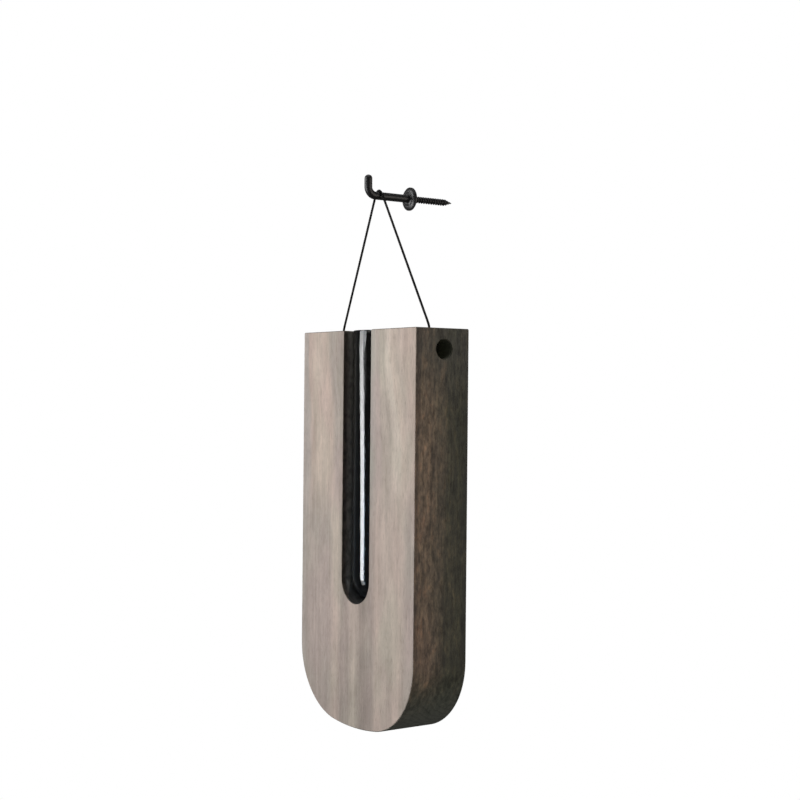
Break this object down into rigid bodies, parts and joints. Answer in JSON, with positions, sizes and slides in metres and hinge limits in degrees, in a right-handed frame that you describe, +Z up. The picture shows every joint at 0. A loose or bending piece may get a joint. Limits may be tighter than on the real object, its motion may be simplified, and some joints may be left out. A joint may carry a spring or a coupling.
{
  "type": "hanging wall vase",
  "caption": "Hanging wall vase: an arched timber block with a slotted bore that holds a glass tube for stems, hung by a knotted cord from a screw hook.",
  "frame": {"origin": "where the screw axis of the wall hook meets the wall plane", "axes": "+X to the right seen from the room, +Y into the wall along the hook's screw, +Z up"},
  "size_m": [0.109, 0.064, 0.3037],
  "materials": {
    "block_timber": "grey-brown stained timber, matt oiled, with soft vertical grain",
    "tube_glass": "clear smoke-tinted borosilicate, polished, fire-rounded rim",
    "cord_black": "waxed black braided cord, 1.4 mm",
    "hook_black": "black satin coated steel"
  },
  "bodies": {
    "wall_side": {"wall_hook": "hook_black", "hook_collar": "hook_black"},
    "cord": {"hanging_cord": "cord_black"},
    "vase": {"vase_block": "block_timber", "cord_knot_left": "cord_black", "cord_knot_right": "cord_black"},
    "tube": {"glass_tube": "tube_glass"}
  },
  "joints": [
    {"name": "side_swing", "type": "hinge", "parent": "wall_side", "child": "cord", "pos_m": [0, -0.0215, 0], "axis": [0, 1, 0], "range_deg": [-30, 30]},
    {"name": "lean_out", "type": "hinge", "parent": "cord", "child": "vase", "pos_m": [0, -0.0165, -0.0745], "axis": [-1, 0, 0], "range_deg": [0, 25]},
    {"name": "tube_lift", "type": "slide", "parent": "vase", "child": "tube", "axis": [0, 0, 1], "range_m": [0, 0.045]}
  ]
}
